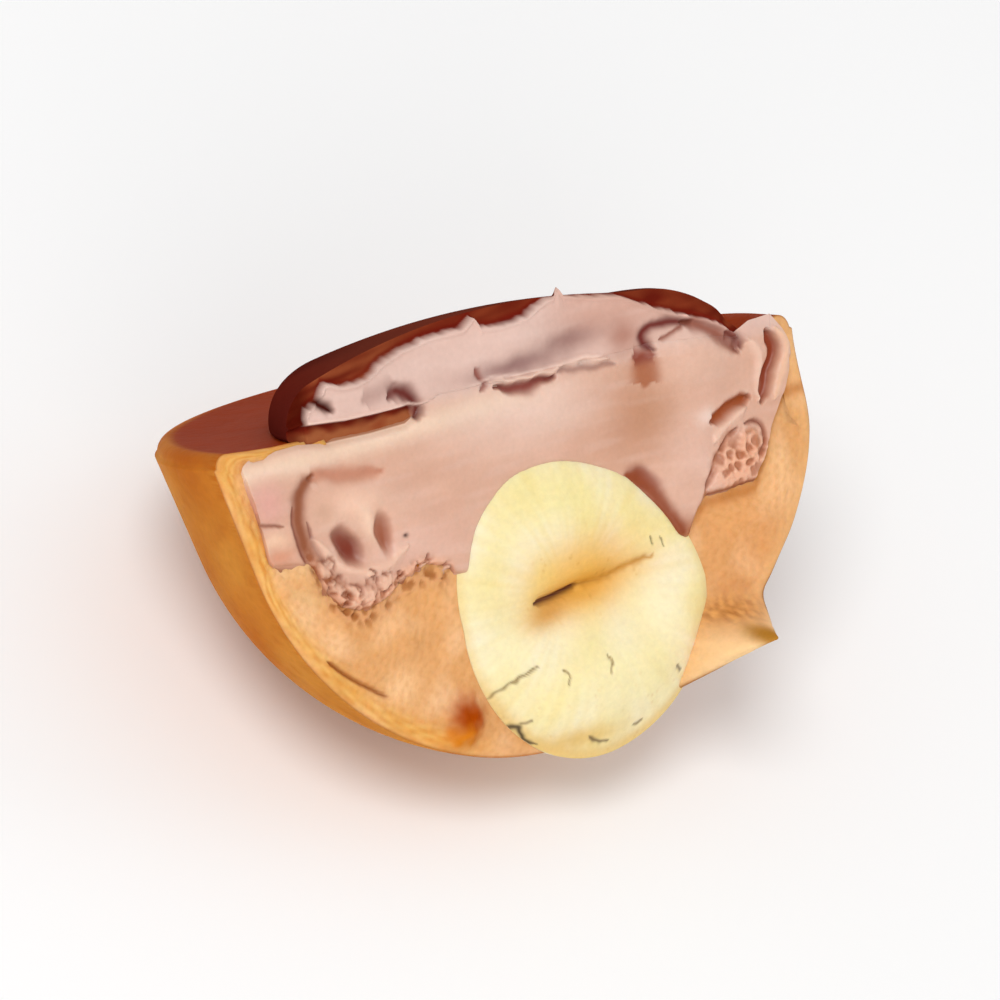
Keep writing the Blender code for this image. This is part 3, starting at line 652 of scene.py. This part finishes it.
def nougatPaint(points, inset, kind):  # the smeared face, browned along its lower edge
    x, z = points[..., 0], points[..., 2]
    if kind != "cut":  # painted shade on the step under the chocolate
        return mix(facePaint(x, np.minimum(z, -0.4)), "A0603C", 0.8 * gapAbove(x))
    colour = facePaint(x, z)
    edge = bell(inset[1], 0.12)
    colour = mix(colour, "B4785A", 0.4 * edge)
    return mix(colour, "8A4A2A", 0.8 * edge * smoothStep(x, 7.2, 8.2) * smoothStep(-z, 2.5, 4))


# The chocolate drop

drop = {"radius": 10.7, "thick": 3.5, "sideRound": 1.95, "foot": -0.1, "short": 1.35}


# side: an arc of 67 degrees; dome: z = crown - (crown - edgeZ) * (r / edgeR)^2; foot: flat
def dropLines():
    side = drop["radius"] - drop["sideRound"]
    sideZ = drop["foot"] + 0.2
    edgeZ = sideZ + drop["sideRound"] * math.sin(math.radians(70))
    edgeR = side + drop["sideRound"] * math.cos(math.radians(70))
    crown = drop["foot"] + drop["thick"]
    r = np.linspace(edgeR, 0, 30)
    dome = np.stack([r, crown - (crown - edgeZ) * (r / edgeR) ** 2], axis=-1)
    above = evenly([*arc(side, sideZ, drop["sideRound"], 0, 67), *dome], 300)
    below = evenly([*arc(drop["radius"] - 0.2, sideZ, 0.2, 0, -88), (0, drop["foot"])], 300)
    return above, below


# the drop is oval, drawn in at its left back, shorter to the back than to the sides, and slumped to the right
def unevenDrop(x, y, z):
    turn = np.arctan2(y, x)
    share = 0.008 * np.cos(2 * turn + 1.2) - 0.06 * bell(turn - 2.5, 0.5)
    low = 1 - 0.003 * x - 0.008 * y - 0.1 * smoothStep(x, 8.8, 10.7) + 0.11 * bell(x - 7.9, 1.3)
    deep = y * (1 + share)
    return np.stack([x * (1 + share), deep - drop["short"] * (1 - np.exp(-deep / 3)),
                     drop["foot"] + (z - drop["foot"]) * low], axis=-1)


def dropEdge(kind, x, z):  # above: raised to the smear; below: sunk by 0.75 mm behind the nougat
    if kind == "above":  # two small peaks of the smear stand over the chocolate
        return x, np.where(np.abs(x) < 10, np.maximum(z, smearTop(x) - 0.1), z)
    if kind == "tip":
        return x, z
    share = smoothStep(0.6 - z, 0.0, 0.4) * smoothStep(10.2 - np.abs(x), 0, 0.8)
    return x, z - 0.75 * share


def gapBelow(x, z):  # the recessed strip under the chocolate's lower lip
    inside = smoothStep(dropLip(x) - z, -0.03, 0.06)
    return inside * smoothStep(x, -10.9, -10.5) * smoothStep(-x, 4.5, 4.8)


def bareChocolate(x, z):  # 1 on the broken chocolate above the smear, 0 on the smear
    ragged = 0.05 * waves(x, z, 1.1, 51) + 0.03 * waves(x, z, 0.45, 52)
    over = smoothStep(z - smearTop(x) + ragged, -0.07, 0.09)
    ends = np.maximum(smoothStep(-x, 9.75, 9.95), smoothStep(x, 10.3, 10.5))
    return np.maximum(over, ends)


# drop cut = the smeared face, 0.3 mm further back where the chocolate is bare and in the gap under its lip,
# 0.5 mm behind the nougat, with a raised rim along the smear and the lip, and rounded at the outline
def dropCut(x, z, insetAbove, insetBelow):
    y = faceCut(x, z)
    bare = bareChocolate(x, z)
    chunk = spot(x, z, (8.3, 2.5), 2.0, 0.9, turn=-22, sharp=1.5)
    y = y + bare * (0.3 + 0.07 * waves(x, z, 1.1, 53) - 0.1 * chunk) + 0.3 * gapBelow(x, z)
    y = y + 0.5 * smoothStep(nougatTop(x) - 0.12 - z, 0, 0.2)  # behind the nougat
    y = y - 0.12 * bell(z - smearTop(x) + 0.12, 0.1) * (1 - bare)
    y = y - 0.1 * bell(z - dropLip(x) - 0.07, 0.08) * smoothStep(-x, -4.6, -4.2)
    inset = np.minimum(insetAbove, insetBelow)
    y = y + (0.15 + 0.4 * bare) * np.exp(-(inset / 0.35) ** 1.4) * smoothStep(insetBelow, -0.1, 0.3) * smoothStep(
        z, 0.3, 0.9)
    return np.minimum(y, -stand["least"])


# outside: smooth brown skin, paler at the crown as painted sheen; cut: streaky broken chocolate over the smear, and a
# brown strip in the gap, with painted shadow and highlight by the lip
def dropPaint(points, inset, kind):
    x, y, z = points[..., 0], points[..., 1], points[..., 2]
    skin = mix("6A3528", "5C2D25", 0.5 + 0.5 * np.clip(waves(x, y, 6.0, 54), -1, 1))
    # painted sheen: paler and greyer towards the crown
    skin = mix(skin, "7E4A40", 0.6 * smoothStep(z, 1.6, 3.2))
    if kind != "cut":
        return skin
    streak = np.clip(waves(x - 2 * z, z, 0.7, 55, stretch=3), -1, 1)
    broken = mix("723422", "8C4A38", 0.5 + 0.5 * streak)
    broken = mix(broken, "9E5C44", smoothStep(-x, 3.5, 5.5) * smoothStep(x, -9.5, -8.6) * (0.55 + 0.45 * streak))
    # painted shadow: a darker line on the chocolate just over the smear's edge
    broken = mix(broken, "7A3020", 0.8 * bell(z - smearTop(x) - 0.12, 0.13))
    broken = mix(broken, "54180C", 0.8 * smoothStep(-x, 9.0, 9.9))
    colour = mix(facePaint(x, z), broken, bareChocolate(x, z))
    uneven = z - dropLip(x) + 0.12 * waves(x, z, 0.9, 56)
    # the strip is chocolate brown, darker towards the lip as painted shadow
    strip = mix("A4664A", "743626", smoothStep(uneven, -0.45, -0.1))
    strip = mix(strip, "8A4226", 0.5 * np.clip(waves(x, z, 0.5, 57, stretch=3), 0, 1))
    strip = mix(strip, "641E12", 0.8 * smoothStep(-x, 9.6, 10.4))
    colour = mix(colour, strip, gapBelow(x, z))
    # painted highlight along the chocolate's lower lip
    lip = bell(z - dropLip(x) - 0.06, 0.06) * smoothStep(-x, -4.6, -4.2) * smoothStep(x, -10.2, -9.8)
    return mix(colour, "F2D2C4", 0.7 * lip * (1 - bareChocolate(x, z)))


# The nut

nut = {
    "centre": (1.96, -0.2, -9.2), "radii": (5.67, 5.6, 6.35),
    "mounds": [
        mound((1.4, -5.6), 4.2, 2.5, 0.85),  # upper lobe
        mound((2.2, -12.4), 4.4, 2.5, 1.25),  # lower lobe
        mound((5.8, -10.6), 1.8, 1.6, 0.4, turn=25),
        mound((2.2, -8.7), 3.6, 0.75, -0.3, turn=5),  # the cleft between them
        mound((1.4, -8.62), 2.2, 0.4, -0.35, turn=8),
    ],
    "strokes": [
        stroke([(-0.3, -8.78), (0.8, -8.66), (1.95, -8.42)], 0.14, -0.3, "6C2004", 1.0),  # the slit
        stroke([(1.95, -8.45), (3.2, -8.4), (4.2, -8.1), (5.4, -7.9)], 0.14, -0.12, "C88A38"),
        stroke([(-3.1, -12.05), (-2.1, -11.6), (-0.9, -11.15)], 0.07, -0.12, "8A6A34"),
        stroke([(-2.9, -13.0), (-2.5, -13.35), (-1.9, -13.55), (-1.6, -14.1), (-1.1, -14.4)], 0.09, -0.15, "40240A",
               0.9),
        stroke([(-1.9, -13.4), (-1.3, -13.35)], 0.06, -0.08, "6A4A24"),
        stroke([(0.0, -11.5), (0.25, -11.8), (0.1, -12.2)], 0.05, -0.07, "8A6A3A"),
        stroke([(2.1, -11.3), (2.2, -11.7), (2.0, -12.1)], 0.05, -0.07, "8A6A3A"),
        stroke([(5.3, -7.1), (5.45, -7.5)], 0.05, -0.07, "6A6038"),
        stroke([(5.75, -7.2), (5.95, -7.65)], 0.05, -0.07, "6A6038"),
        stroke([(5.5, -12.5), (5.75, -12.75)], 0.1, -0.1, "4E3C20"),
        stroke([(1.2, -14.55), (1.6, -14.85), (2.2, -14.95)], 0.08, -0.1, "5A4020"),
        stroke([(3.4, -14.6), (3.9, -14.4)], 0.07, -0.1, "6A5028"),
    ],
}


def nutLines():  # (rx * cos t, rz * sin t) for t from 0 to 90 degrees, and the same below
    up = np.radians(np.linspace(0, 90, 150))
    rx, _, rz = nut["radii"]
    above = np.stack([rx * np.cos(up), rz * np.sin(up)], axis=-1)
    below = np.stack([rx * np.cos(up), -rz * np.sin(up)], axis=-1)
    return above, below


# x = x + centre - 0.15 * height over the middle, y stretched to its own radius, z + centre
def placeNut(x, y, z):
    cx, cy, cz = nut["centre"]
    deep = y * nut["radii"][1] / nut["radii"][0]
    low = np.where(z < 0, 1 - 0.2 * smoothStep(deep, 0, 2.5), 1)  # flattened low behind
    return np.stack([x + cx - 0.15 * np.maximum(z, 0), deep + 0 * x, z * low + cz], axis=-1)  # its top leans left


def nutShare(x, z):  # 0 at the middle, 1 at the outline
    up = z - nut["centre"][2]
    return np.hypot((x - nut["centre"][0] + 0.15 * np.maximum(up, 0)) / nut["radii"][0], up / nut["radii"][2])


def nutPocket(x, z):  # caramel and nougat are hollow behind the nut
    return 3.5 * smoothStep(0.95 - nutShare(x, z), 0, 0.2)


# nut cut = -(its stand + forward + lobes) rounded to the outline by 0.28 * share^8
def nutCut(x, z, insetAbove, insetBelow):
    share = np.clip(nutShare(x, z), 0, 1)
    lobes = moundSum(nut["mounds"], x, z) + strokeSum(nut["strokes"], x, z)
    fine = 0.02 * waves(x, z, 1.3, 61) + 0.006 * waves(x, z, 0.35, 62)
    return -(stand["nut"] + forward(x) + (lobes + fine) * (1 - share ** 6)) + 0.28 * share ** 8


# pale, with rays round the cleft, gold mounds along it, a darker rim low down, and flecks
def nutPaint(points, inset, kind):
    x, z = points[..., 0], points[..., 2]
    colour = mix("F6E6AA", "FCF0D0", 0.5 + 0.5 * np.clip(waves(x, z, 3.0, 63), -1, 1))
    if kind != "cut":
        return mix(colour, "E8C884", 0.5)
    share = np.clip(nutShare(x, z), 0, 1)
    turn = np.arctan2(z + 8.6, x - 1.2)
    rays = 0.5 + 0.5 * np.clip(waves(turn * 6, share, 0.7, 64), -1, 1)
    colour = mix(colour, "EFD588", 0.3 * rays * smoothStep(share, 0.15, 0.6))
    colour = mix(colour, "F6E8A8", 0.7 * spot(x, z, (1.4, -4.6), 2.6, 1.4))
    gold = spot(x, z, (2.0, -8.05), 2.85, 1.75, turn=4, sharp=1.3)
    colour = mix(colour, "F2BA5C", 0.9 * gold)
    deep = spot(x, z, (2.5, -8.5), 2.5, 0.75, turn=7, sharp=1.2)
    colour = mix(colour, "E6AA4C", 0.85 * deep)
    colour = mix(colour, "D69440", 0.8 * spot(x, z, (0.0, -9.3), 1.3, 0.5, turn=15))
    colour = mix(colour, "FDF0CC", 0.8 * spot(x, z, (5.0, -10.0), 1.3, 1.4))
    colour = mix(colour, "FCF0C6", 0.7 * spot(x, z, (-2.2, -10.3), 1.4, 1.2))
    colour = mix(colour, "E4BA6C", 0.8 * smoothStep(share, 0.88, 1.0) * smoothStep(-z, 10, 14))
    colour = mix(colour, "FAECB8", 0.7 * spot(x, z, (2.6, -12.2), 2.8, 1.8))
    colour = mix(colour, "F0D08C", 0.5 * smoothStep(share, 0.92, 1.0))
    fleck = smoothStep(0.22 - cells(x, z, 0.42, 5.0), 0, 0.12) * smoothStep(waves(x, z, 1.5, 66), 0.2, 0.8)
    colour = mix(colour, "D9A050", 0.6 * fleck * (gold + 0.4 * smoothStep(-z, 11, 14)))
    a, b = x + 0.05 * waves(x, z, 0.5, 67), z + 0.05 * waves(x, z, 0.5, 68)
    colour = mix(colour, "E6BC6C", 0.8 * spot(a, b, (0.7, -14.55), 2.0, 0.5))
    for s in nut["strokes"]:
        mask = strokeMask(s, x, z) if s["share"] == 1.0 else strokeMask(s, a, b)
        colour = mix(colour, s["tint"], mask * s["share"])
    return colour


# A finish reads its piece's paint, and adds its own grain on object coordinates
def finish(name, grains, roughness, cutRoughness, subsurface, radius, coat=0.0, coatRoughness=0.2, specular=0.5):
    made = bpy.data.materials.new(name)
    made.use_nodes = True
    nodes, links = made.node_tree.nodes, made.node_tree.links
    shader = nodes["Principled BSDF"]
    place = nodes.new("ShaderNodeTexCoord")
    paint = nodes.new("ShaderNodeVertexColor")
    paint.layer_name = "paint"
    cut = nodes.new("ShaderNodeAttribute")
    cut.attribute_name = "cutFace"

    colour, bump = paint.outputs["Color"], None
    for grain in grains:  # each grain darkens or lightens the paint and raises the bump
        noise = nodes.new("ShaderNodeTexNoise")
        noise.inputs["Scale"].default_value = grain["scale"]
        noise.inputs["Detail"].default_value = 5.0
        noise.inputs["Roughness"].default_value = 0.6
        links.new(place.outputs["Object"], noise.inputs["Vector"])
        shade = nodes.new("ShaderNodeMapRange")
        shade.inputs["From Min"].default_value = 0.3
        shade.inputs["From Max"].default_value = 0.7
        shade.inputs["To Min"].default_value = 1.0 - grain["shade"]
        shade.inputs["To Max"].default_value = 1.0 + grain["shade"]
        links.new(noise.outputs["Fac"], shade.inputs["Value"])
        times = nodes.new("ShaderNodeMix")
        times.data_type = "RGBA"
        times.blend_type = "MULTIPLY"
        times.inputs["Factor"].default_value = 1.0
        links.new(colour, times.inputs["A"])
        links.new(shade.outputs["Result"], times.inputs["B"])
        colour = times.outputs["Result"]
        raised = nodes.new("ShaderNodeBump")
        raised.inputs["Strength"].default_value = grain["strength"]
        raised.inputs["Distance"].default_value = grain["height"]
        links.new(noise.outputs["Fac"], raised.inputs["Height"])
        if bump:
            links.new(bump.outputs["Normal"], raised.inputs["Normal"])
        bump = raised
    links.new(colour, shader.inputs["Base Color"])
    links.new(bump.outputs["Normal"], shader.inputs["Normal"])

    gloss = nodes.new("ShaderNodeMapRange")
    gloss.inputs["To Min"].default_value = roughness
    gloss.inputs["To Max"].default_value = cutRoughness
    links.new(cut.outputs["Fac"], gloss.inputs["Value"])
    links.new(gloss.outputs["Result"], shader.inputs["Roughness"])
    shader.inputs["Subsurface Weight"].default_value = subsurface
    shader.inputs["Subsurface Radius"].default_value = radius
    shader.inputs["Subsurface Scale"].default_value = 0.0005
    shader.inputs["Coat Weight"].default_value = coat
    shader.inputs["Coat Roughness"].default_value = coatRoughness
    shader.inputs["Specular IOR Level"].default_value = specular
    return made


print("caramel cup")
cupAbove, cupBelow = cupLines()
cupPiece = halfTurned("toffeeCaramelCup", cupAbove, cupBelow, unevenCup, caramelCut, cupEdge, caramelPaint,
                      turnSteps=76, crossSteps=70)
finishPiece(cupPiece, "caramel_cup", finish(
    "chewyCaramel",
    [{"scale": 380, "shade": 0.05, "strength": 0.4, "height": 0.0003},
     {"scale": 3400, "shade": 0.05, "strength": 0.2, "height": 0.00008}],
    roughness=0.6, cutRoughness=0.52, subsurface=0.2, radius=(1.0, 0.45, 0.15), specular=0.02))

print("nougat")
nougatAbove, nougatBelow = nougatLines()
nougatPiece = halfTurned("toffeeNougat", nougatAbove, nougatBelow, unevenCup, nougatCut, nougatEdge, nougatPaint,
                         turnSteps=26, crossSteps=112)
finishPiece(nougatPiece, "nougat_filling", finish(
    "smearedNougat",
    [{"scale": 900, "shade": 0.03, "strength": 0.25, "height": 0.0001},
     {"scale": 5000, "shade": 0.03, "strength": 0.2, "height": 0.00004}],
    roughness=0.5, cutRoughness=0.4, subsurface=0.18, radius=(1.0, 0.5, 0.35), coat=0.1, coatRoughness=0.3,
    specular=0.35))

print("chocolate drop")
dropAbove, dropBelow = dropLines()
dropPiece = halfTurned("toffeeChocolateDrop", dropAbove, dropBelow, unevenDrop, dropCut, dropEdge, dropPaint,
                       turnSteps=84, crossSteps=64)
finishPiece(dropPiece, "chocolate_drop", finish(
    "milkChocolate",
    [{"scale": 260, "shade": 0.05, "strength": 0.2, "height": 0.0003},
     {"scale": 3800, "shade": 0.03, "strength": 0.12, "height": 0.00004}],
    roughness=0.5, cutRoughness=0.5, subsurface=0.04, radius=(1.0, 0.4, 0.3), specular=0.0))

print("nut")
nutAbove, nutBelow = nutLines()
nutPiece = halfTurned("toffeeHazelnut", nutAbove, nutBelow, placeNut, nutCut, lambda kind, x, z: (x, z), nutPaint,
                      turnSteps=90, crossSteps=150)
finishPiece(nutPiece, "hazelnut", finish(
    "blanchedNut",
    [{"scale": 700, "shade": 0.03, "strength": 0.25, "height": 0.0001},
     {"scale": 4200, "shade": 0.04, "strength": 0.3, "height": 0.00005}],
    roughness=0.5, cutRoughness=0.52, subsurface=0.3, radius=(1.0, 0.7, 0.3), specular=0.3))


# Floor, lights and camera
studio = {
    "aim": Vector((0.0, 0.0, 0.0085)), "floorSize": 3.0, "floorGap": 0.00002, "skyStrength": 0.57,
    "lights": {
        "keySoft": {"toward": (-0.45, -0.1, 0.85), "distance": 0.5, "size": 0.22, "power": 1.05},
        "fillSoft": {"toward": (-0.5, -0.9, 0.5), "distance": 0.6, "size": 0.4, "power": 0.54},
        "rightSoft": {"toward": (0.9, -0.2, 0.45), "distance": 0.55, "size": 0.3, "power": 0.25},
    },
}

print("studio")
bpy.ops.mesh.primitive_plane_add(size=studio["floorSize"], location=(0, 0, -studio["floorGap"]))
floor = bpy.context.active_object
floor.name = "paleFloor"
paper = bpy.data.materials.new("palePaper")
paper.use_nodes = True
paper.node_tree.nodes["Principled BSDF"].inputs["Base Color"].default_value = (0.97, 0.97, 0.97, 1)
paper.node_tree.nodes["Principled BSDF"].inputs["Roughness"].default_value = 0.9
floor.data.materials.append(paper)

bpy.context.scene.view_settings.view_transform = "Standard"
world = bpy.context.scene.world or bpy.data.worlds.new("studio")
bpy.context.scene.world = world
world.use_nodes = True
world.node_tree.nodes["Background"].inputs["Color"].default_value = (1.0, 1.0, 1.0, 1)
world.node_tree.nodes["Background"].inputs["Strength"].default_value = studio["skyStrength"]

for name, light in studio["lights"].items():
    lamp = bpy.data.lights.new(name, "AREA")
    lamp.shape = "DISK"
    lamp.size = light["size"]
    lamp.energy = light["power"]
    lit = bpy.data.objects.new(name, lamp)
    bpy.context.scene.collection.objects.link(lit)
    lit.location = studio["aim"] + Vector(light["toward"]).normalized() * light["distance"]
    lit.rotation_euler = (studio["aim"] - lit.location).to_track_quat("-Z", "Y").to_euler()

# The camera keeps its place in the cup's frame, 33.4 degrees left of the cut's normal and 9 above, rolled by 8.
view = {"left": math.radians(-33.4), "above": math.radians(9), "roll": math.radians(8), "distance": 0.36,
        "frameWidth": 0.0405, "sensor": 36.0, "lookAt": Vector((0.0006, -0.0010, 0.0092))}
leanTurn = Matrix.Rotation(-stance["lean"], 3, "X")
sinA, cosA = math.sin(view["left"]), math.cos(view["left"])
sinE, cosE = math.sin(view["above"]), math.cos(view["above"])
back = leanTurn @ Vector((sinA * cosE, -cosA * cosE, sinE))
rightFlat = leanTurn @ Vector((cosA, sinA, 0))
upFlat = back.cross(rightFlat)
up = upFlat * math.cos(view["roll"]) + rightFlat * math.sin(view["roll"])
right = up.cross(back)
cameraData = bpy.data.cameras.new("studioCamera")
cameraData.sensor_width = view["sensor"]
cameraData.lens = view["sensor"] * view["distance"] / view["frameWidth"]
cameraData.clip_start = 0.01
cameraData.clip_end = 20.0
camera = bpy.data.objects.new("studioCamera", cameraData)
bpy.context.scene.collection.objects.link(camera)
camera.matrix_world = Matrix.Translation(view["lookAt"] + back * view["distance"]) @ Matrix(
    (right, up, back)).transposed().to_4x4()
bpy.context.scene.camera = camera
